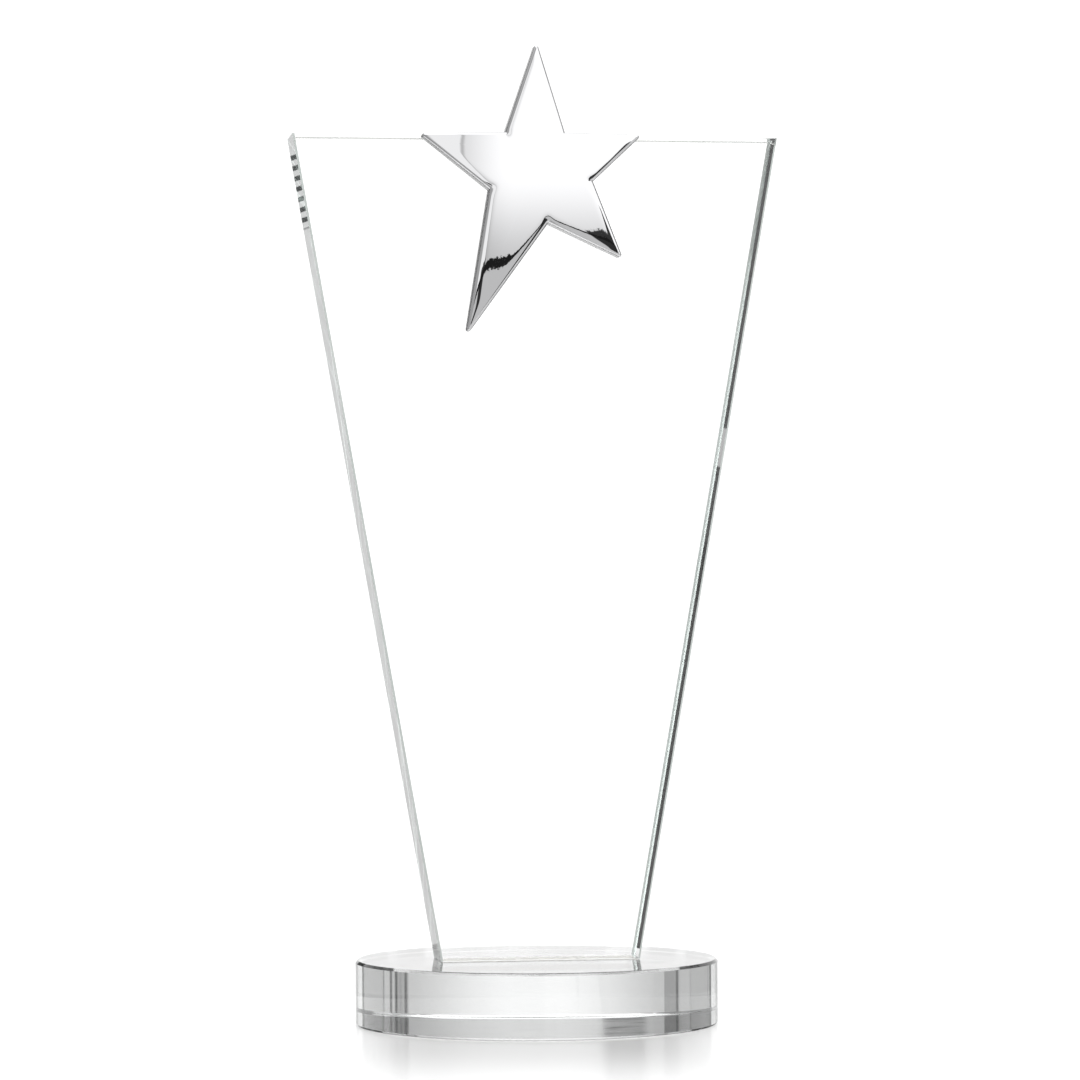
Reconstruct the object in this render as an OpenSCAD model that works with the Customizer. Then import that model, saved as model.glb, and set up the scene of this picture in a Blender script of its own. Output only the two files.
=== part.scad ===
// Star award: a tapered slab of optical crystal stands on edge on a round crystal base,
// and a plated die-cast star is bonded across the top edge of the slab's front face.
// Millimetres. +Z is up, -Y is the front, and the origin is the middle of the base's underside.

/* [Crystal stock] */
// Thickness of the polished stock that the base and the plate are both cut from
stock_t = 19.5; // [15:0.5:25]
// Width of the polished bevel around the upper rim of the base
rim_bevel = 0.8; // [0.3:0.1:2]
// Width of the finer bevel around the lower rim of the base
under_bevel = 0.6; // [0.3:0.1:2]
// Width of the polished bevel along the plate's leaning sides
side_bevel = 0.6; // [0.2:0.1:1.5]
// Width of the finer polished bevel along the plate's top and foot
level_bevel = 0.25; // [0.25:0.1:1.55]

/* [Base] */
// Diameter of the round base
base_d = 110; // [100:1:140]

/* [Plate] */
// Height of the plate, from its foot to its top edge
plate_h = 249; // [200:0.5:260]
// Width of the plate at its foot, where it stands on the base
foot_w = 60.5; // [50:0.5:80]
// Width of the plate along its top edge
top_w = 148; // [100:0.5:180]

/* [Star] */
// Height of the upper point above the plate's top edge
point_rise = 26.7; // [20:0.1:35]
// Reach of the left arm from the plate's midline
left_reach = 35.2; // [30:0.1:40]
// Reach of the right arm from the plate's midline
right_reach = 30.6; // [26:0.1:36]
// Drop of the long lower-left leg below the plate's top edge
long_leg_drop = 59.5; // [50:0.1:70]
// Drop of the short lower-right leg below the plate's top edge
short_leg_drop = 36.8; // [32:0.1:45]
// Thickness of the casting at its face
star_t = 5.5; // [3:0.1:8]
// Radius of the rolled edge between the star's face and its side walls
roll_r = 0.8; // [0.3:0.1:0.8]
// Width of the blunted end of each point
point_w = 1.3; // [1.3:0.1:2]

/* [Bonds] */
// Thickness of the clear cured adhesive between the plate's foot and the base
foot_bond_t = 0.1; // [0.05:0.05:0.5]
// Thickness of the clear adhesive sheet between the star and the plate
star_bond_t = 0.3; // [0.1:0.05:1]
// Distance that the adhesive sheet stays back from the star's outline
star_bond_inset = 2; // [1:0.1:3]
// Distance that the adhesive sheet stays below the plate's top edge
star_bond_drop = 1.5; // [1:0.1:4]

/* [Hidden] */
$fn = 128;

plate_z = stock_t + foot_bond_t;
plate_top_z = plate_z + plate_h;
star_bond_y = -stock_t / 2;
star_back_y = star_bond_y - star_bond_t;

// Lean of the plate's sides away from the vertical
side_lean = atan((top_w - foot_w) / 2 / plate_h);
// Length and width that reach well past the plate, for the slabs it is cut from
past_h = 3 * plate_h;
past_w = 2 * top_w;

// The star's corners, clockwise from the upper point, seen from the front. Each is [x, height above
// the plate's top edge]. The level top edges of both arms lie along the top edge of the plate.
POINTS = [
    [-0.6, point_rise],
    [right_reach, -0.4],
    [24.9, -short_leg_drop],
    [-21.6, -long_leg_drop],
    [-left_reach, -0.5]
];
NOTCHES = [[7.9, 0.3], [16.4, -14.3], [2.7, -27], [-15.2, -16.9], [-10.3, 0.3]];
// Middle of the star, from which every corner is in sight
HEART = [-0.5, -9];
SHARP_STAR = [for (i = [0:4]) each [POINTS[i], NOTCHES[i]]];
BLUNT_STAR = [for (i = [0:4]) each concat(blunt(NOTCHES[(i + 4) % 5], POINTS[i], NOTCHES[i]), [NOTCHES[i]])];

// Steps around the quarter circle of the rolled edge
roll_steps = 6;

function unit(v) = v / norm(v);
// Normal of the run from a to b, on the right-hand side: inward for a clockwise outline
function right_of(a, b) = unit([b[1] - a[1], a[0] - b[0]]);

// A point between two notches, cut square across its bisector to the width point_w
function blunt(before, point, after) =
    let (bisector = unit(unit(before - point) + unit(after - point)))
    let (across = [-bisector[1], bisector[0]] * point_w / 2)
    [point - across, point + across];

// A clockwise outline moved inward by d, with mitred corners
function inset(outline, d) = [
    for (i = [0:len(outline) - 1])
        let (n = len(outline))
        let (a = right_of(outline[(i + n - 1) % n], outline[i]))
        let (b = right_of(outline[i], outline[(i + 1) % n]))
        outline[i] + d * (a + b) / (1 + a * b)
];

// A rectangle whose four corners are bevelled at 45 degrees, from the origin
module bevelled_rect(w, h, bevel) {
    polygon([
        [bevel, 0], [w - bevel, 0], [w, bevel], [w, h - bevel],
        [w - bevel, h], [bevel, h], [0, h - bevel], [0, bevel]
    ]);
}

// The slab under the plate's leaning right-hand side, with the side's two long edges bevelled
module right_side_slab() {
    translate([foot_w / 2, -stock_t / 2, 0])
        rotate([0, side_lean, 0])
        translate([-past_w, 0, -past_h / 2])
        linear_extrude(height = past_h)
        bevelled_rect(past_w, stock_t, side_bevel);
}

// The level slab that gives the plate its top edge and its foot, both bevelled
module level_slab() {
    rotate([90, 0, 90])
        translate([-stock_t / 2, 0, -past_w / 2])
        linear_extrude(height = past_w)
        bevelled_rect(stock_t, plate_h, level_bevel);
}

// Round base, bevelled around both rims
module crystal_base() {
    color([0.84, 0.93, 0.92, 0.5])
        rotate_extrude()
        polygon([
            [0, 0], [base_d / 2 - under_bevel, 0], [base_d / 2, under_bevel],
            [base_d / 2, stock_t - rim_bevel], [base_d / 2 - rim_bevel, stock_t], [0, stock_t]
        ]);
}

// Clear ultraviolet-cured adhesive under the flat of the plate's foot
module foot_bond() {
    color([0.93, 0.95, 0.94, 0.4])
        translate([0, 0, stock_t + foot_bond_t / 2])
        cube([foot_w - 2 * side_bevel, stock_t - 2 * level_bevel, foot_bond_t], center = true);
}

// Tapered plate, wider at its top, standing on edge
module crystal_plate() {
    color([0.84, 0.93, 0.92, 0.5])
        translate([0, 0, plate_z])
        intersection() {
            level_slab();
            right_side_slab();
            mirror([1, 0, 0]) right_side_slab();
        }
}

// Clear adhesive sheet between the star's flat back and the plate's front face
module star_bond() {
    color([0.93, 0.95, 0.94, 0.4])
        translate([0, star_bond_y, plate_top_z])
        rotate([90, 0, 0])
        linear_extrude(height = star_bond_t)
        intersection() {
            polygon(inset(SHARP_STAR, star_bond_inset));
            translate([-top_w / 2, -plate_h]) square([top_w, plate_h - star_bond_drop]);
        }
}

// Star with a flat back, square side walls and a rolled edge around its face
module star() {
    rings = concat(
        [[0, 0]],
        [for (k = [0:roll_steps]) let (a = 90 * k / roll_steps)
            [roll_r * (1 - cos(a)), star_t - roll_r * (1 - sin(a))]]
    );
    outlines = [for (ring = rings) inset(BLUNT_STAR, ring[0])];
    n = len(BLUNT_STAR);
    last = len(rings) - 1;
    corners = concat(
        [for (k = [0:last]) each [for (p = outlines[k]) [p[0], p[1], rings[k][1]]]],
        [[HEART[0], HEART[1], 0], [HEART[0], HEART[1], star_t]]
    );
    back_heart = (last + 1) * n;
    face_heart = back_heart + 1;
    walls = [
        for (k = [0:last - 1], i = [0:n - 1])
            [k * n + i, k * n + (i + 1) % n, (k + 1) * n + (i + 1) % n, (k + 1) * n + i]
    ];
    back = [for (i = [0:n - 1]) [back_heart, (i + 1) % n, i]];
    face = [for (i = [0:n - 1]) [face_heart, last * n + i, last * n + (i + 1) % n]];
    color([0.82, 0.83, 0.85])
        translate([0, star_back_y, plate_top_z])
        rotate([90, 0, 0])
        polyhedron(points = corners, faces = concat(walls, back, face));
}

crystal_base();
foot_bond();
crystal_plate();
star_bond();
star();
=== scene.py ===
"""Star award: a tapered crystal plate on a round crystal base, with a plated star across its top edge."""

import math

import bmesh
import bpy
import numpy as np
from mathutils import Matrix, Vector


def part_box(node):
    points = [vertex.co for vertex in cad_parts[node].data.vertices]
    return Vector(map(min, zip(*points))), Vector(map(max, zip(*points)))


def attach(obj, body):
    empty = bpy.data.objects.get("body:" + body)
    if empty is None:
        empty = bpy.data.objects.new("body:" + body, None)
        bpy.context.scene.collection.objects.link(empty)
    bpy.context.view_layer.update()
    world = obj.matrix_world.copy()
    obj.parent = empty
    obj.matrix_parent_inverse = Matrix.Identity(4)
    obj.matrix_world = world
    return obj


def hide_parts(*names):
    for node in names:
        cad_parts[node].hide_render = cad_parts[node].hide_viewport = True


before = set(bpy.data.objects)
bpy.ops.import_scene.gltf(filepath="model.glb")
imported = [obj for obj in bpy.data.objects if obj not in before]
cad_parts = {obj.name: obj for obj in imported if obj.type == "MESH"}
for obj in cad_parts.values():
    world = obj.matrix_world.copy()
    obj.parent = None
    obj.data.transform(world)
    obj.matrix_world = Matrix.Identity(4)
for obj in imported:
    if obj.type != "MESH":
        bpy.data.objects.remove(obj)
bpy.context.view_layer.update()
MM = 0.001

# Camera. A long lens a little above the base, a few degrees round to the left of the plate's front,
# tipped up slightly so that the whole award fills the height of the frame.
camera_turn = math.radians(8.0)
camera_distance = 1.277
camera_side = 0.0016
camera_height = 0.1245
camera_tip = math.radians(0.984)
camera_roll = math.radians(0.3)
camera = bpy.data.cameras.new("camera")
camera.sensor_width = 36.0
camera.lens = 140.0
camera.clip_start = 0.05
camera_object = bpy.data.objects.new("camera", camera)
camera_object.location = (
    -camera_distance * math.sin(camera_turn) + camera_side * math.cos(camera_turn),
    -camera_distance * math.cos(camera_turn) - camera_side * math.sin(camera_turn),
    camera_height,
)
camera_object.rotation_euler = (math.radians(90.0) + camera_tip, camera_roll, -camera_turn)
bpy.context.scene.collection.objects.link(camera_object)
bpy.context.scene.camera = camera_object


# Studio. White all round the award, with a brighter ceiling, dimmer low side walls, and a dark
# gap low in front, which a bright casting and the edges of clear crystal need for their contrast.
def add_node(tree, kind, **values):
    """A node of that kind in the tree, with plain values set on its properties."""
    node = tree.nodes.new(kind)
    for name, value in values.items():
        setattr(node, name, value)
    return node


def feed(tree, socket, value):
    """Links value to the socket if it is a socket itself, or sets it as the socket's plain value."""
    if isinstance(value, bpy.types.NodeSocket):
        tree.links.new(value, socket)
    else:
        socket.default_value = value


def calc(tree, operation, *values):
    """A Math node on the values, each a socket or a number."""
    node = add_node(tree, "ShaderNodeMath", operation=operation)
    for socket, value in zip(node.inputs, values):
        feed(tree, socket, value)
    return node.outputs[0]


def mixed(tree, share, first, second, data_type="FLOAT"):
    """first where share is 0, second where it is 1, and the two mixed in between."""
    node = add_node(tree, "ShaderNodeMix", data_type=data_type)
    first_input, result = (6, 2) if data_type == "RGBA" else (2, 0)
    tree.links.new(share, node.inputs["Factor"])
    feed(tree, node.inputs[first_input], first)
    feed(tree, node.inputs[first_input + 1], second)
    return node.outputs[result]


def axes_of(tree, vector):
    """The x, y and z of a vector, each as a socket."""
    node = add_node(tree, "ShaderNodeSeparateXYZ")
    tree.links.new(vector, node.inputs[0])
    return node.outputs


def coordinates(tree, kind):
    """The texture coordinates of that kind."""
    return add_node(tree, "ShaderNodeTexCoord").outputs[kind]


def camera_line(tree, kind):
    """The texture coordinates of that kind, turned so that +Y runs straight away from the camera."""
    node = add_node(tree, "ShaderNodeVectorRotate", rotation_type="Z_AXIS")
    node.inputs["Angle"].default_value = camera_turn
    tree.links.new(coordinates(tree, kind), node.inputs["Vector"])
    return node.outputs[0]


def noise(tree, scale, detail, vector=None):
    """Noise of that scale and detail over the vector, or over the object's own coordinates."""
    node = add_node(tree, "ShaderNodeTexNoise")
    node.inputs["Scale"].default_value = scale
    node.inputs["Detail"].default_value = detail
    tree.links.new(vector or coordinates(tree, "Object"), node.inputs["Vector"])
    return node.outputs["Fac"]


def ramp_between(tree, value, low, high):
    """0 below low, 1 above high, and a smooth step between."""
    node = add_node(tree, "ShaderNodeMapRange", interpolation_type="SMOOTHSTEP")
    tree.links.new(value, node.inputs["Value"])
    node.inputs["From Min"].default_value = low
    node.inputs["From Max"].default_value = high
    return node.outputs["Result"]


def falling(tree, value, low, high):
    """1 below low, 0 above high, and a smooth step between."""
    return calc(tree, "SUBTRACT", 1.0, ramp_between(tree, value, low, high))


def window(tree, value, rise, fall):
    """A smooth step from 0 to 1 between the two ends of rise, and back to 0 between those of fall."""
    return calc(tree, "SUBTRACT", ramp_between(tree, value, *rise), ramp_between(tree, value, *fall))


def strip(tree, value, low, high, soft):
    """1 between low and high, and 0 outside them, past edges that wide."""
    return window(tree, value, rise=(low - soft, low), fall=(high, high + soft))


def bump(tree, value, centre, below, above):
    """1 at the centre, falling smoothly to 0 at that far below it and at that far above it."""
    return window(tree, value, rise=(centre - below, centre), fall=(centre, centre + above))


def dimmed(tree, value, amount, mask):
    """value with that share of it taken away where mask is 1."""
    return calc(tree, "MULTIPLY", value, calc(tree, "MULTIPLY_ADD", mask, -amount, 1.0))


world = bpy.data.worlds.new("studio")
bpy.context.scene.world = world
world.use_nodes = True
sky = world.node_tree
sky.nodes.clear()
way = camera_line(sky, "Generated")
way_x, way_y, way_z = axes_of(sky, way)

# The room's angles, all in degrees: height above the horizon, and the way round from the wall
# behind the award and from the wall in front of it, both counted towards the right.
height = calc(sky, "DEGREES", calc(sky, "ARCSINE", way_z))
round_from_back = calc(sky, "DEGREES", calc(sky, "ARCTAN2", way_x, way_y))
off_back = calc(sky, "ABSOLUTE", round_from_back)
round_from_front = calc(sky, "DEGREES", calc(sky, "ARCTAN2", way_x, calc(sky, "MULTIPLY", way_y, -1.0)))

# The depth counted here is one more than the bounces. Light straight through a crystal arrives at 3,
# light that has turned once inside it at 4, and light that has met one mirror at 2.
path = add_node(sky, "ShaderNodeLightPath")
deep = calc(sky, "GREATER_THAN", path.outputs["Ray Depth"], 3.5)
turned_inside = calc(sky, "MULTIPLY", deep, path.outputs["Is Transmission Ray"])
shallow = calc(sky, "LESS_THAN", path.outputs["Ray Depth"], 2.5)
first_mirror = calc(sky, "MULTIPLY", path.outputs["Is Glossy Ray"], shallow)

# Behind: a bright sheet that falls off to its sides, and a grey flag with its stands at each side.
# Light that has turned once inside clear stock has lost some of its strength.
behind = dimmed(sky, 1.2, amount=0.437, mask=ramp_between(sky, off_back, 2.0, 33.0))
flag = window(sky, off_back, rise=(32.4, 32.9), fall=(66.9, 67.5))
behind = dimmed(sky, behind, amount=0.2, mask=flag)
near_flag = window(sky, round_from_back, rise=(-38.6, -38.3), fall=(-32.9, -32.4))
behind = dimmed(sky, behind, amount=0.25, mask=near_flag)
stands = 0.0
for stand_at, stand_reach, stand_dark in (
    (-66.0, 1.9, 1.0), (-38.5, 1.1, 0.75), (33.9, 1.2, 0.85), (36.2, 2.0, 0.35),
    (38.3, 1.2, 0.95), (41.1, 1.2, 1.0), (45.4, 0.7, 0.6), (65.9, 1.7, 1.0),
):
    stand = bump(sky, round_from_back, stand_at, below=stand_reach, above=stand_reach)
    stands = calc(sky, "MULTIPLY_ADD", stand, stand_dark, stands)
behind = dimmed(sky, behind, amount=0.93, mask=stands)
turned_low = calc(sky, "MULTIPLY", turned_inside, ramp_between(sky, height, 5.15, 5.35))
behind = dimmed(sky, behind, amount=0.28, mask=turned_low)
behind = dimmed(sky, behind, amount=0.36, mask=calc(sky, "MULTIPLY", turned_inside, flag))

# To the left of the sheet: a dark board and a rack of level bars beside it, which polished faces
# mirror, and a second board which draws the dark core of a crystal edge seen from inside.
wall_board = calc(sky, "MULTIPLY", strip(sky, round_from_back, -24.0, -15.5, soft=0.5), first_mirror)
behind = dimmed(sky, behind, amount=0.93, mask=wall_board)
bar_pitch = 0.14
bar_wave = calc(sky, "SINE", calc(sky, "MULTIPLY", height, 2.0 * math.pi / bar_pitch))
lower_bars = strip(sky, height, 3.3, 4.3, soft=0.05)
upper_bars = strip(sky, height, 5.12, 5.6, soft=0.05)
bars = ramp_between(sky, bar_wave, -0.2, 0.4)
bars = calc(sky, "MULTIPLY", bars, calc(sky, "ADD", upper_bars, lower_bars))
rack = calc(sky, "MULTIPLY", strip(sky, round_from_back, -15.4, -9.0, soft=0.1), first_mirror)
behind = dimmed(sky, behind, amount=0.9, mask=calc(sky, "MULTIPLY", rack, bars))
edge_board = calc(sky, "MULTIPLY", strip(sky, round_from_back, -24.0, -16.5, soft=4.0), turned_inside)
edge_board = dimmed(sky, edge_board, amount=0.6, mask=strip(sky, height, 5.42, 5.9, soft=0.04))
behind = dimmed(sky, behind, amount=0.97, mask=edge_board)

# Past the flags: a lit side wall on each side, and then a dark one as far as the front.
side_wall = window(sky, off_back, rise=(66.9, 67.6), fall=(76.0, 80.0))
behind = calc(sky, "MULTIPLY_ADD", side_wall, 0.45, behind)
behind = dimmed(sky, behind, amount=0.8, mask=ramp_between(sky, off_back, 76.0, 80.0))

# In front: a softbox that fades towards its foot and its left edge, and a white panel to the left of
# it, with a crease where they meet.
softbox = calc(sky, "MULTIPLY_ADD", ramp_between(sky, height, -1.0, 6.0), 0.61, 0.68)
softbox = dimmed(sky, softbox, amount=0.40, mask=falling(sky, round_from_front, 9.5, 14.5))
panel = calc(sky, "MULTIPLY_ADD", ramp_between(sky, round_from_front, 3.0, 6.5), 0.64, 0.40)
upper = mixed(sky, falling(sky, round_from_front, 10.75, 10.9), softbox, panel)
upper = dimmed(sky, upper, amount=0.35, mask=bump(sky, round_from_front, 10.95, below=0.2, above=0.25))

# Under both: a dark slot with torn edges, which climbs to the right, and the lit floor below it.
slot_slope = 0.2
slot_start = -3.14
slot_line = calc(sky, "MULTIPLY_ADD", round_from_front, slot_slope, slot_start)
over_slot = calc(sky, "SUBTRACT", height, slot_line)
tear = 0.5
over_slot = calc(sky, "SUBTRACT", over_slot, tear / 2.0)
over_slot = calc(sky, "MULTIPLY_ADD", noise(sky, 420.0, 1.0, way), tear, over_slot)
above_slot = ramp_between(sky, over_slot, 0.34, 0.37)
below_slot = falling(sky, over_slot, -0.37, -0.34)
floor_bright = 0.60
front = calc(sky, "MULTIPLY_ADD", below_slot, floor_bright, calc(sky, "MULTIPLY", upper, above_slot))

# At each end of the slot: a dark post, the right one taller on its far side. A little light fills
# them. Light straight through a crystal is not darkened by anything in front.
left_post = window(sky, round_from_front, rise=(8.6, 8.9), fall=(11.2, 11.4))
right_post = window(sky, round_from_front, rise=(18.9, 19.2), fall=(26.0, 27.0))
post_top = calc(sky, "MULTIPLY_ADD", ramp_between(sky, round_from_front, 22.6, 24.5), 2.4, 0.9)
under_top = falling(sky, calc(sky, "SUBTRACT", over_slot, post_top), -0.1, 0.1)
posts = calc(sky, "MULTIPLY", calc(sky, "ADD", left_post, right_post), under_top)
front = dimmed(sky, front, amount=0.97, mask=posts)
fill = 0.015
front = calc(sky, "ADD", calc(sky, "ADD", front, fill), path.outputs["Is Transmission Ray"])

around = mixed(sky, ramp_between(sky, off_back, 100.0, 104.0), behind, front)
ceiling_bright = 1.5
light = mixed(sky, ramp_between(sky, height, 25.0, 50.0), around, ceiling_bright)
backdrop = add_node(sky, "ShaderNodeBackground")
backdrop.inputs["Color"].default_value = (1.0, 1.0, 1.0, 1.0)
backdrop.inputs["Strength"].default_value = 1.15
room = add_node(sky, "ShaderNodeBackground")
room.inputs["Color"].default_value = (1.0, 1.0, 1.0, 1.0)
sky.links.new(light, room.inputs["Strength"])
seen = add_node(sky, "ShaderNodeMixShader")
sky.links.new(path.outputs["Is Camera Ray"], seen.inputs[0])
sky.links.new(room.outputs[0], seen.inputs[1])
sky.links.new(backdrop.outputs[0], seen.inputs[2])
sky.links.new(seen.outputs[0], add_node(sky, "ShaderNodeOutputWorld").inputs["Surface"])

scene = bpy.context.scene
scene.view_settings.view_transform = "Standard"
scene.cycles.max_bounces = 40
scene.cycles.transmission_bounces = 40
scene.cycles.glossy_bounces = 24
scene.cycles.diffuse_bounces = 4
scene.cycles.use_denoising = True
scene.cycles.caustics_reflective = True
scene.cycles.caustics_refractive = True
scene.cycles.blur_glossy = 0.0


# Table. A white gloss sheet, wide enough to be seen in the star and short enough to leave the dark
# gap in front. It lies a hair below the base, which would otherwise touch it.
def mesh_piece(name, points, faces, smooth=False, sharp=None):
    """An object at the origin from arrays of points in metres and faces."""
    mesh = bpy.data.meshes.new(name)
    mesh.from_pydata(points, [], faces)
    mesh.polygons.foreach_set("use_smooth", np.full(len(mesh.polygons), smooth))
    if sharp is not None:
        mesh.set_sharp_from_angle(angle=sharp)
    mesh.validate()
    piece = bpy.data.objects.new(name, mesh)
    bpy.context.scene.collection.objects.link(piece)
    return piece


def new_material(name):
    """A material of that name, with its node tree and its shader."""
    material = bpy.data.materials.new(name)
    material.use_nodes = True
    return material, material.node_tree, material.node_tree.nodes["Principled BSDF"]


table_half = 1.1
table_drop = 0.05 * MM
corner_signs = ((-1, -1), (1, -1), (1, 1), (-1, 1))
table_points = [(x * table_half, y * table_half, -table_drop) for x, y in corner_signs]
table = mesh_piece("table", table_points, [(0, 1, 2, 3)])

# Seen directly it is plain white, with a painted reflection of the base in front of the rim: a grey
# painted shade that fades forward. Everything mirrored in the award sees it as a mirror, with painted
# shade making it greyer far in front.
table_gloss, tree, shader = new_material("white_gloss_sheet")
table_path = add_node(tree, "ShaderNodeLightPath")
direct = table_path.outputs["Is Camera Ray"]
spot = axes_of(tree, camera_line(tree, "Object"))
to_front = calc(tree, "MULTIPLY", spot[1], -1.0)
aside = calc(tree, "ABSOLUTE", spot[0])
rim_radius = 55.0 * MM
rim_square = calc(tree, "MULTIPLY_ADD", calc(tree, "MULTIPLY", aside, aside), -1.0, rim_radius**2)
rim_front = calc(tree, "SQRT", calc(tree, "MAXIMUM", rim_square, 0.0))
past_rim = calc(tree, "SUBTRACT", to_front, rim_front)
# Painted reflection: for camera rays the table's colour is darkened in front of the base's rim, fading
# forward.
painted_base_reflection = calc(tree, "MULTIPLY", falling(tree, aside, 28.0 * MM, 56.0 * MM), direct)
painted_base_reflection = calc(tree, "MULTIPLY", painted_base_reflection, ramp_between(tree, past_rim, 0.0, 7.0 * MM))
painted_base_reflection = calc(tree, "MULTIPLY", painted_base_reflection, falling(tree, past_rim, 20.0 * MM, 130.0 * MM))
# Painted shade: for rays mirrored in the award the table's colour is greyer far in front.
far_front_painted_shade = ramp_between(tree, to_front, 60.0 * MM, 160.0 * MM)
far_front_painted_shade = calc(tree, "MULTIPLY", far_front_painted_shade, table_path.outputs["Is Glossy Ray"])
table_tone = dimmed(tree, 0.9, amount=0.40, mask=painted_base_reflection)
table_tone = dimmed(tree, table_tone, amount=0.42, mask=far_front_painted_shade)
table_tone = calc(tree, "MULTIPLY_ADD", noise(tree, 400.0, 2.0), 0.01, table_tone)
table_colour = add_node(tree, "ShaderNodeCombineColor")
for socket in table_colour.inputs:
    tree.links.new(table_tone, socket)
tree.links.new(table_colour.outputs[0], shader.inputs["Base Color"])
tree.links.new(calc(tree, "MULTIPLY_ADD", direct, -0.9, 0.9), shader.inputs["Metallic"])
tree.links.new(calc(tree, "MULTIPLY_ADD", direct, 0.2, 0.02), shader.inputs["Roughness"])
shader.inputs["Specular IOR Level"].default_value = 0.2
shader.inputs["Emission Color"].default_value = (1.0, 1.0, 1.0, 1.0)
tree.links.new(calc(tree, "MULTIPLY", direct, 0.12), shader.inputs["Emission Strength"])
table.data.materials.append(table_gloss)


# Base. A disc of clear optical crystal, sawn and turned from stock, with its wall, its faces and a
# bevel around each rim all polished. It stands on its flat underside, which is ground slightly grey.
def crystal_material(name, density):
    """Clear glass with a faint polish haze that varies over it, and green absorption of that density."""
    material, tree, shader = new_material(name)
    shader.inputs["Base Color"].default_value = (1.0, 1.0, 1.0, 1.0)
    shader.inputs["Transmission Weight"].default_value = 1.0
    shader.inputs["IOR"].default_value = 1.517
    haze = noise(tree, 90.0, 4.0)
    polish = calc(tree, "MULTIPLY", ramp_between(tree, haze, 0.52, 0.75), 0.012)
    tree.links.new(polish, shader.inputs["Roughness"])
    absorb = add_node(tree, "ShaderNodeVolumeAbsorption")
    absorb.inputs["Color"].default_value = (0.50, 0.525, 0.52, 1.0)
    absorb.inputs["Density"].default_value = density
    tree.links.new(absorb.outputs[0], tree.nodes["Material Output"].inputs["Volume"])
    return material, tree, shader, haze, polish


def grid_quads(rows, count):
    """Quads between neighbouring rows of points, closed round each row."""
    i, j = np.meshgrid(np.arange(rows - 1), np.arange(count), indexing="ij")
    nxt = (j + 1) % count
    quads = np.stack([i * count + j, i * count + nxt, (i + 1) * count + nxt, (i + 1) * count + j], axis=-1)
    return quads.reshape(-1, 4).tolist()


def turned(name, radii, heights, steps, sharp):
    """A profile of radii and heights, from the axis to the axis, carried round the axis.

    The point at radius r, height z and turn t is (r cos t, r sin t, z). The profile's two ends are
    single points on the axis, and a fan of triangles closes the disc round each of them.
    """
    turn = np.arange(steps) / steps * 2.0 * math.pi
    ring_r = np.array(radii)[1:-1]
    ring_z = np.array(heights)[1:-1]
    grid = np.stack([
        ring_r[:, None] * np.cos(turn),
        ring_r[:, None] * np.sin(turn),
        np.repeat(ring_z[:, None], steps, axis=1),
    ], axis=-1).reshape(-1, 3)
    poles = np.array([(0.0, 0.0, heights[0]), (0.0, 0.0, heights[-1])])
    points = np.concatenate([grid, poles])
    rows = len(ring_r)
    low_pole = rows * steps
    top_row = low_pole - steps
    here = np.arange(steps)
    nxt = (here + 1) % steps
    low_fan = np.stack([np.full(steps, low_pole), nxt, here], axis=-1).tolist()
    high_fan = np.stack([np.full(steps, low_pole + 1), top_row + here, top_row + nxt], axis=-1).tolist()
    return mesh_piece(name, points.tolist(), grid_quads(rows, steps) + low_fan + high_fan, True, sharp)


base_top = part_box("crystal_base")[1].z
base_r = 55.0 * MM
rim_bevel = 0.8 * MM
under_bevel = 0.6 * MM
base = turned(
    "base_disc",
    [0.0, base_r - under_bevel, base_r, base_r, base_r - rim_bevel, 0.0],
    [0.0, 0.0, under_bevel, base_top - rim_bevel, base_top, base_top],
    steps=720, sharp=math.radians(20.0),
)
base_glass, tree, shader, haze, polish = crystal_material("base_crystal", density=3.1)
base_height = axes_of(tree, coordinates(tree, "Object"))[2]
underside = falling(tree, base_height, 0.05 * MM, 0.1 * MM)
ground = calc(tree, "MULTIPLY", underside, ramp_between(tree, haze, 0.2, 0.9))
tree.links.new(calc(tree, "MULTIPLY_ADD", ground, -0.55, 1.0), shader.inputs["Transmission Weight"])
tree.links.new(calc(tree, "MULTIPLY_ADD", ground, 0.05, polish), shader.inputs["Roughness"])
ground_tone = mixed(tree, underside, (1.0, 1.0, 1.0, 1.0), (0.12, 0.12, 0.12, 1.0), "RGBA")
tree.links.new(ground_tone, shader.inputs["Base Color"])
base.data.materials.append(base_glass)
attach(base, "root")
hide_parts("crystal_base")


# Plate. A slab of the same stock, sawn to a taper and polished, with a fine flat bevel along every
# edge, wider down its leaning sides. It stands on its foot, which is bonded to the base.
def inset_outline(outline, depths):
    """A closed anticlockwise outline with each side moved inward by its own depth, and mitred corners.

    With a and b the inward normals of the sides before and after a corner, p and q their depths and
    c = a . b, the corner moves by (p (a - c b) + q (b - c a)) / (1 - c^2).
    """
    run = np.roll(outline, -1, axis=0) - outline
    inward = np.stack([-run[:, 1], run[:, 0]], axis=-1) / np.linalg.norm(run, axis=-1, keepdims=True)
    before = np.roll(inward, 1, axis=0)
    depth = np.broadcast_to(np.asarray(depths, float), len(outline))[:, None]
    depth_before = np.roll(depth, 1, axis=0)
    turn = (before * inward).sum(-1, keepdims=True)
    slide = depth_before * (before - turn * inward) + depth * (inward - turn * before)
    return outline + slide / (1.0 - turn**2)


def ring_stack(name, rings, levels, place):
    """Outlines of equal count, each at its own level, joined by quads and closed by a face at each end.

    place turns an array of outline x, outline y and level into points.
    """
    rings = np.stack(rings)
    rows, count = rings.shape[:2]
    level = np.broadcast_to(np.asarray(levels)[:, None, None], (rows, count, 1))
    points = place(np.concatenate([rings, level], axis=-1).reshape(-1, 3))
    caps = [list(range(count - 1, -1, -1)), list(range((rows - 1) * count, rows * count))]
    return mesh_piece(name, points.tolist(), grid_quads(rows, count) + caps)


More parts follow.
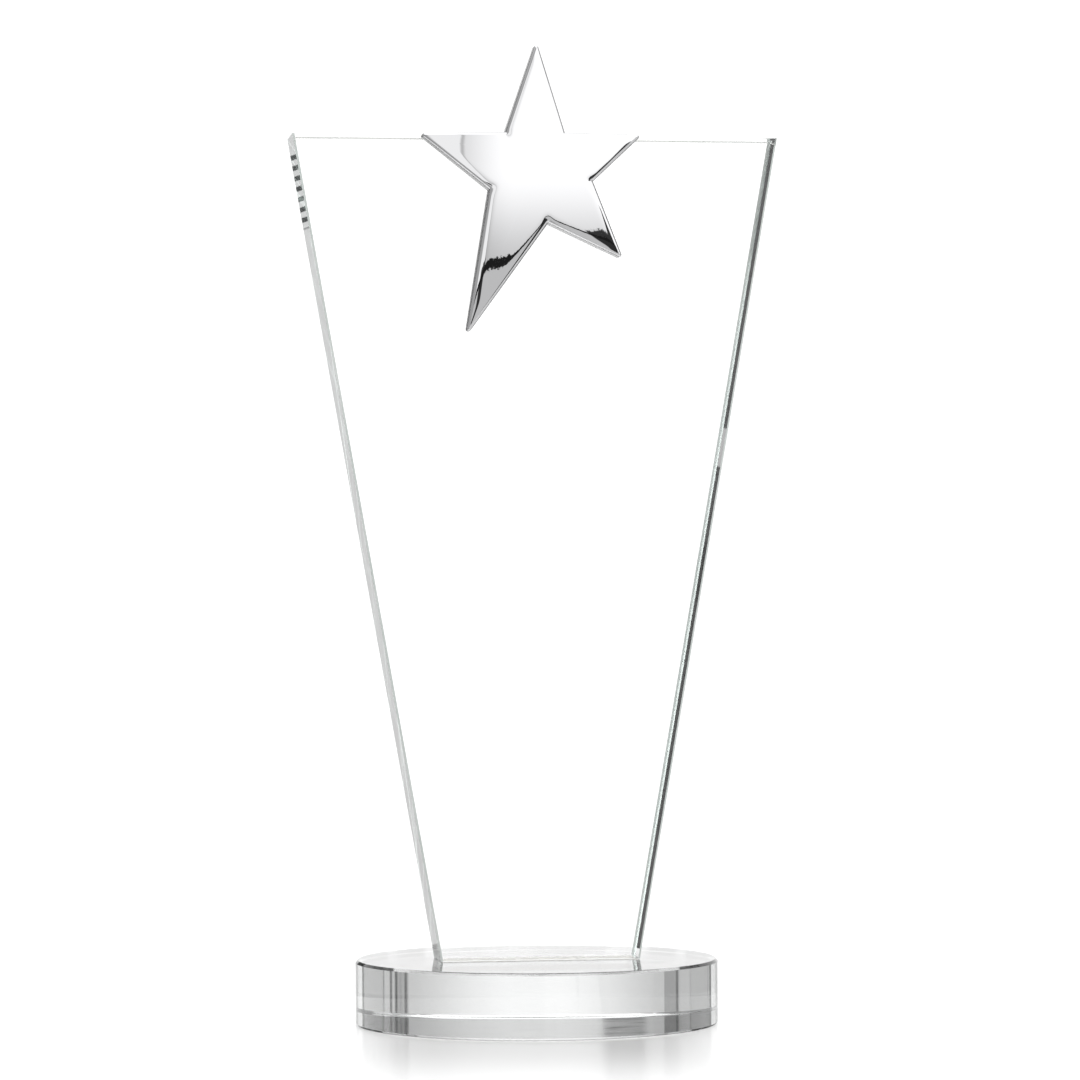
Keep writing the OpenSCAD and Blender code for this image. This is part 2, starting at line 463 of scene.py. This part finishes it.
def upright(points):
    """Outline x and height with a level towards the front, as points of a standing plate."""
    return np.stack([points[:, 0], -points[:, 2], points[:, 1]], axis=-1)


def bevelled_slab(name, outline, bevels, half_thick):
    """An upright slab: its outline carried through its thickness, each side with its own 45 degree bevel.

    At a depth d under either face, each side is set in by its bevel less d, or by nothing if d is more.
    """
    depths = np.unique(np.append(bevels, 0.0))
    rings = [inset_outline(outline, np.maximum(bevels - depth, 0.0)) for depth in depths]
    levels = np.concatenate([depths - half_thick, half_thick - depths[::-1]])
    return ring_stack(name, rings + rings[::-1], levels, upright)


plate_low, plate_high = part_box("crystal_plate")
plate_half_top = plate_high.x
plate_half_foot = 30.25 * MM
plate_half_thick = plate_high.y
plate_outline = np.array([
    (-plate_half_foot, plate_low.z), (plate_half_foot, plate_low.z),
    (plate_half_top, plate_high.z), (-plate_half_top, plate_high.z),
])
side_bevel = 0.6 * MM
level_bevel = 0.25 * MM
bevels = np.array([level_bevel, side_bevel, level_bevel, side_bevel])
plate = bevelled_slab("plate", plate_outline, bevels, plate_half_thick)

# The faces are fully polished. The narrow ends carry a green tint, the bevels beside them are satin
# and painted a darker grey-green as painted shade, in streaks along them, and the bevels along the top
# and foot are frosted.
plate_glass, tree, shader, haze, polish = crystal_material("plate_crystal", density=2.6)
facing = axes_of(tree, coordinates(tree, "Normal"))
facing_side = calc(tree, "ABSOLUTE", facing[0])
facing_level = calc(tree, "ABSOLUTE", facing[2])
bevel_from = (0.55, 0.62)
bevel_to = (0.78, 0.85)
on_side_bevel = window(tree, facing_side, rise=bevel_from, fall=bevel_to)
on_level_bevel = window(tree, facing_level, rise=bevel_from, fall=bevel_to)
on_end = ramp_between(tree, facing_side, 0.85, 0.92)
streak_stretch = add_node(tree, "ShaderNodeMapping")
streak_stretch.inputs["Scale"].default_value = (60.0, 420.0, 45.0)
tree.links.new(coordinates(tree, "Object"), streak_stretch.inputs["Vector"])
streaks = noise(tree, 1.0, 2.0, streak_stretch.outputs[0])
# Painted shade: the leaning bevels are darkened to grey-green in streaks and let less light through; they
# are also made rougher.
satin_and_painted_shade = calc(tree, "MULTIPLY", on_side_bevel, calc(tree, "MULTIPLY_ADD", streaks, 0.6, 0.45))
end_tone = mixed(tree, on_end, (1.0, 1.0, 1.0, 1.0), (0.80, 0.93, 0.89, 1.0), "RGBA")
plate_tone = mixed(tree, satin_and_painted_shade, end_tone, (0.42, 0.50, 0.46, 1.0), "RGBA")
tree.links.new(plate_tone, shader.inputs["Base Color"])
tree.links.new(calc(tree, "MULTIPLY_ADD", satin_and_painted_shade, -0.3, 1.0), shader.inputs["Transmission Weight"])
plate_roughness = calc(tree, "MULTIPLY_ADD", satin_and_painted_shade, 0.2, polish)
plate_roughness = calc(tree, "MULTIPLY_ADD", on_level_bevel, 0.5, plate_roughness)
tree.links.new(plate_roughness, shader.inputs["Roughness"])
plate.data.materials.append(plate_glass)
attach(plate, "root")
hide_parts("crystal_plate")


# Star. A zinc die casting with a flat back, square walls, a rolled edge and a slightly domed face,
# buffed and plated bright. The adhesive sheet holds its back to the plate's front face.
# The corners are in millimetres from the middle of the plate's top edge, clockwise from the top.
STAR_POINTS = np.array([(-0.6, 26.7), (30.6, -0.4), (24.9, -36.8), (-21.6, -59.5), (-35.2, -0.5)])
STAR_NOTCHES = np.array([(7.9, 0.3), (16.4, -14.3), (2.7, -27.0), (-15.2, -16.9), (-10.3, 0.3)])
STAR_HEART = np.array([-0.5, -9.0])
star_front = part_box("star")[1].y
point_radius = 0.7
star_thick = 5.5
roll_radius = 0.85
dome_radius = 650.0
back_break = 0.15
buff_width = 3.0
buff_slope = 0.08


def unit(v):
    """v at length one: v / |v|."""
    return v / np.linalg.norm(v, axis=-1, keepdims=True)


def turn_by(v, angle):
    """v turned anticlockwise by angle a: (x cos a - y sin a, x sin a + y cos a)."""
    c, s = math.cos(angle), math.sin(angle)
    return np.array([v[0] * c - v[1] * s, v[0] * s + v[1] * c])


def arm_outline(before, point, after, side_steps, end_steps):
    """One arm's outline from notch to notch, and the point of the arm's spine facing each of its points.

    The arm ends in a circle of radius r, point_radius, centred on the corner's bisector at r from the
    corner. From either notch, at distance d from that centre, the side runs sqrt(d^2 - r^2) to the
    tangent, at asin(r / d) off the line to the centre. The sides are stepped finely at both ends:
    the share along is (1 - cos(pi t)) / 2, with t even. The spine runs from the star's heart to the
    centre with the same share.
    """
    outward = -unit(unit(before - point) + unit(after - point))
    centre = point - outward * point_radius
    tangents = []
    for notch, sense in ((before, 1.0), (after, -1.0)):
        reach = np.linalg.norm(centre - notch)
        way_to = turn_by(unit(centre - notch), sense * math.asin(point_radius / reach))
        tangents.append(notch + way_to * math.sqrt(reach**2 - point_radius**2))
    ease = np.linspace(0.0, 1.0, side_steps + 1)
    ease = 0.5 - 0.5 * np.cos(ease * math.pi)
    up = before + (tangents[0] - before) * ease[:, None]
    down = after + (tangents[1] - after) * ease[::-1, None]
    start = math.atan2(*(tangents[0] - centre)[::-1])
    end = math.atan2(*(tangents[1] - centre)[::-1])
    if end > start:
        end -= 2.0 * math.pi
    angles = np.linspace(start, end, end_steps + 1)[1:-1]
    arc = centre + point_radius * np.stack([np.cos(angles), np.sin(angles)], axis=-1)
    spine = STAR_HEART + (centre - STAR_HEART) * ease[:, None]
    spines = np.concatenate([spine, np.repeat(centre[None], len(arc), axis=0), spine[::-1]])
    outline = np.concatenate([up, arc, down])
    return outline[:-1], spines[:-1]


def edge_distance(points, outline):
    """Distance from each point to the closed outline, the least of those to its sides.

    On the side from a to b the nearest place is a + t (b - a), t = (p - a) . (b - a) / |b - a|^2, kept
    between 0 and 1.
    """
    batch = 4000
    a = outline
    b = np.roll(outline, -1, axis=0)
    run = b - a
    out = np.empty(len(points))
    for k in range(0, len(points), batch):
        p = points[k:k + batch, None]
        t = np.clip(((p - a) * run).sum(-1) / (run**2).sum(-1), 0.0, 1.0)
        out[k:k + batch] = np.linalg.norm(p - (a + run * t[..., None]), axis=-1).min(axis=1)
    return out


def side_distance(points, start, end):
    """Distance from each point to the straight run from start to end, found as in edge_distance."""
    run = end - start
    t = np.clip(((points - start) @ run) / (run @ run), 0.0, 1.0)
    return np.linalg.norm(points - (start + t[:, None] * run), axis=-1)


# The casting is one grid of points. Each row starts at the arm's spine on the back, runs out to the
# outline, up the wall, over the roll and in across the face to the spine again. With d the depth in
# from the outline, R the roll, D the dome and r the distance from the heart, the face lies at
# thickness - R + sqrt(R^2 - (R - min(d, R))^2) - r^2 / 2D - the buffed fall, and the buffed fall
# within w of each side, at distance e from it, is slope * w / 3 * (1 - e / w)^3.
side_steps = 36
end_steps = 18
roll_steps = 12
face_steps = 18
arms = [
    arm_outline(STAR_NOTCHES[i - 1], STAR_POINTS[i], STAR_NOTCHES[i], side_steps, end_steps)
    for i in range(5)
]
outline = np.concatenate([arm[0] for arm in arms])
spines = np.concatenate([arm[1] for arm in arms])
inward = spines - outline

# Shares of the way in from the outline to the spine, over the roll and then across the face.
# room_in is how far in the spine lies, measured square to the outline.
most_of_room = 0.9
edge_run = unit(np.roll(outline, -1, axis=0) - np.roll(outline, 1, axis=0))
room_in = np.abs(edge_run[:, 0] * inward[:, 1] - edge_run[:, 1] * inward[:, 0])
roll_angles = np.linspace(0.0, math.pi / 2.0, roll_steps + 1)
roll_room = np.minimum(roll_radius, most_of_room * room_in)
roll_share = roll_room[:, None] * (1.0 - np.cos(roll_angles)) / room_in[:, None]
flat_share = roll_share[:, -1:] + (1.0 - roll_share[:, -1:]) * np.linspace(0.0, 1.0, face_steps + 1)[1:]
face_share = np.concatenate([roll_share, flat_share], axis=1)

# Heights over the face.
face_xy = outline[:, None] + inward[:, None] * face_share[..., None]
flat_xy = face_xy.reshape(-1, 2)
depth = edge_distance(flat_xy, outline)
rolled = np.sqrt(np.clip(roll_radius**2 - (roll_radius - np.minimum(depth, roll_radius))**2, 0.0, None))
dome_drop = ((flat_xy - STAR_HEART)**2).sum(-1) / (2.0 * dome_radius)
corners = np.stack([STAR_POINTS, STAR_NOTCHES], axis=1).reshape(-1, 2)
buffed = np.zeros(len(flat_xy))
for side in range(len(corners)):
    off_side = side_distance(flat_xy, corners[side], corners[(side + 1) % len(corners)])
    buffed += buff_slope * buff_width / 3.0 * np.clip(1.0 - off_side / buff_width, 0.0, None)**3
face_z = (star_thick - roll_radius + rolled - dome_drop - buffed).reshape(face_xy.shape[:2])

# The square wall, the broken corner where it meets the back, and the flat back.
wall_shares = np.array([0.5, 0.97])
break_knee = back_break * 0.3
back_shares = np.array([1.0, 0.6, 0.3, 0.1])
wall_top = face_z[:, :1]
wall_z = np.concatenate([np.full_like(wall_top, back_break), wall_top * wall_shares], axis=1)
wall_xy = np.repeat(outline[:, None], wall_z.shape[1], axis=1)
break_share = np.array([back_break, break_knee])[None] / room_in[:, None]
break_xy = outline[:, None] + inward[:, None] * break_share[..., None]
break_z = np.repeat(np.array([[0.0, break_knee]]), len(outline), axis=0)
back_share = break_share[:, :1] + (1.0 - break_share[:, :1]) * back_shares
back_xy = outline[:, None] + inward[:, None] * back_share[..., None]
back_z = np.zeros(back_xy.shape[:2])

# All of it together, in metres, with the heights towards the front.
star_xy = np.concatenate([back_xy, break_xy, wall_xy, face_xy], axis=1)
star_z = np.concatenate([back_z, break_z, wall_z, face_z], axis=1)
across, along = star_z.shape
star_points = np.stack([
    star_xy[..., 0] * MM,
    star_front - star_z * MM,
    plate_high.z + star_xy[..., 1] * MM,
], axis=-1).reshape(-1, 3)
i, j = np.meshgrid(np.arange(across), np.arange(along - 1), indexing="ij")
nxt = (i + 1) % across
star_quads = np.stack([i * along + j, i * along + j + 1, nxt * along + j + 1, nxt * along + j], axis=-1)
star = mesh_piece("star_casting", star_points.tolist(), star_quads.reshape(-1, 4).tolist(), True)


def close_seams(piece, gap=1e-6):
    """Merges points closer than gap, drops faces that this empties, and turns faces outward."""
    shape = bmesh.new()
    shape.from_mesh(piece.data)
    bmesh.ops.remove_doubles(shape, verts=shape.verts, dist=gap)
    bmesh.ops.dissolve_degenerate(shape, dist=gap * 0.1, edges=shape.edges)
    bmesh.ops.recalc_face_normals(shape, faces=shape.faces)
    shape.to_mesh(piece.data)
    shape.free()


close_seams(star)

# The plating is smooth and bright on the buffed face and duller on the side walls, whose colour is painted
# darker as painted shade.
chrome, tree, shader = new_material("bright_plating")
on_face = calc(tree, "MULTIPLY", axes_of(tree, coordinates(tree, "Normal"))[1], -1.0)
front_facing_share = ramp_between(tree, on_face, 0.3, 0.85)
# Painted shade: the plating's colour is darker on surfaces turned away from the front.
plating = mixed(tree, front_facing_share, (0.30, 0.30, 0.305, 1.0), (0.80, 0.80, 0.81, 1.0), "RGBA")
tree.links.new(plating, shader.inputs["Base Color"])
tree.links.new(calc(tree, "MULTIPLY_ADD", front_facing_share, -0.21, 0.22), shader.inputs["Roughness"])
shader.inputs["Metallic"].default_value = 1.0
swell = add_node(tree, "ShaderNodeBump")
swell.inputs["Strength"].default_value = 0.01
swell.inputs["Distance"].default_value = 0.02 * MM
tree.links.new(noise(tree, 900.0, 2.0), swell.inputs["Height"])
tree.links.new(swell.outputs[0], shader.inputs["Normal"])
star.data.materials.append(chrome)
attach(star, "root")
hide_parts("star")

# Foot bond. A film of clear adhesive, cured by ultraviolet light, between the plate's foot and the
# base. It wets both by a hair, so that no gap shows through the crystal.
wetting = 0.02 * MM
foot_low, foot_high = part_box("foot_bond")
foot_outline = np.array([
    (foot_low.x, foot_low.y), (foot_high.x, foot_low.y),
    (foot_high.x, foot_high.y), (foot_low.x, foot_high.y),
])
foot_inset = 0.1 * MM
foot_bond = ring_stack(
    "foot_adhesive",
    [inset_outline(foot_outline, inset) for inset in (foot_inset, 0.0, 0.0, foot_inset)],
    [foot_low.z - wetting, foot_low.z, foot_high.z, foot_high.z + wetting],
    place=lambda points: points,
)
foot_adhesive, tree, shader = new_material("cured_adhesive")
cloud = noise(tree, 220.0, 3.0)
cloudy = ramp_between(tree, cloud, 0.35, 0.7)
cured_tone = mixed(tree, cloudy, (0.70, 0.67, 0.61, 1.0), (0.86, 0.84, 0.79, 1.0), "RGBA")
tree.links.new(cured_tone, shader.inputs["Base Color"])
tree.links.new(calc(tree, "MULTIPLY_ADD", cloud, 0.2, 0.15), shader.inputs["Roughness"])
shader.inputs["IOR"].default_value = 1.5
foot_bond.data.materials.append(foot_adhesive)
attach(foot_bond, "root")
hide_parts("foot_bond")

# Star bond. A clear adhesive sheet, cut a little smaller than the star and kept below the plate's
# top edge. It wets the plate unevenly, and the star's dull back shows through it.
sheet_inset = 2.0
sheet_drop = 1.5
sheet_thick = 0.3 * MM
sharp_star = np.stack([STAR_POINTS, STAR_NOTCHES], axis=1).reshape(-1, 2)[::-1]
sheet_outline = inset_outline(sharp_star, sheet_inset)
sheet_outline[:, 1] = np.minimum(sheet_outline[:, 1], -sheet_drop)
sheet_outline = sheet_outline * MM + np.array([0.0, plate_high.z])
star_bond = ring_stack(
    "star_adhesive", [sheet_outline, sheet_outline],
    [plate_half_thick - wetting, plate_half_thick + sheet_thick], place=upright,
)
sheet_adhesive, tree, shader = new_material("adhesive_sheet")
wet_out = noise(tree, 160.0, 4.0)
wetted = ramp_between(tree, wet_out, 0.4, 0.62)
backing = mixed(tree, wetted, (0.16, 0.165, 0.17, 1.0), (0.24, 0.245, 0.25, 1.0), "RGBA")
tree.links.new(backing, shader.inputs["Base Color"])
tree.links.new(calc(tree, "MULTIPLY_ADD", wet_out, 0.25, 0.2), shader.inputs["Roughness"])
star_bond.data.materials.append(sheet_adhesive)
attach(star_bond, "root")
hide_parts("star_bond")
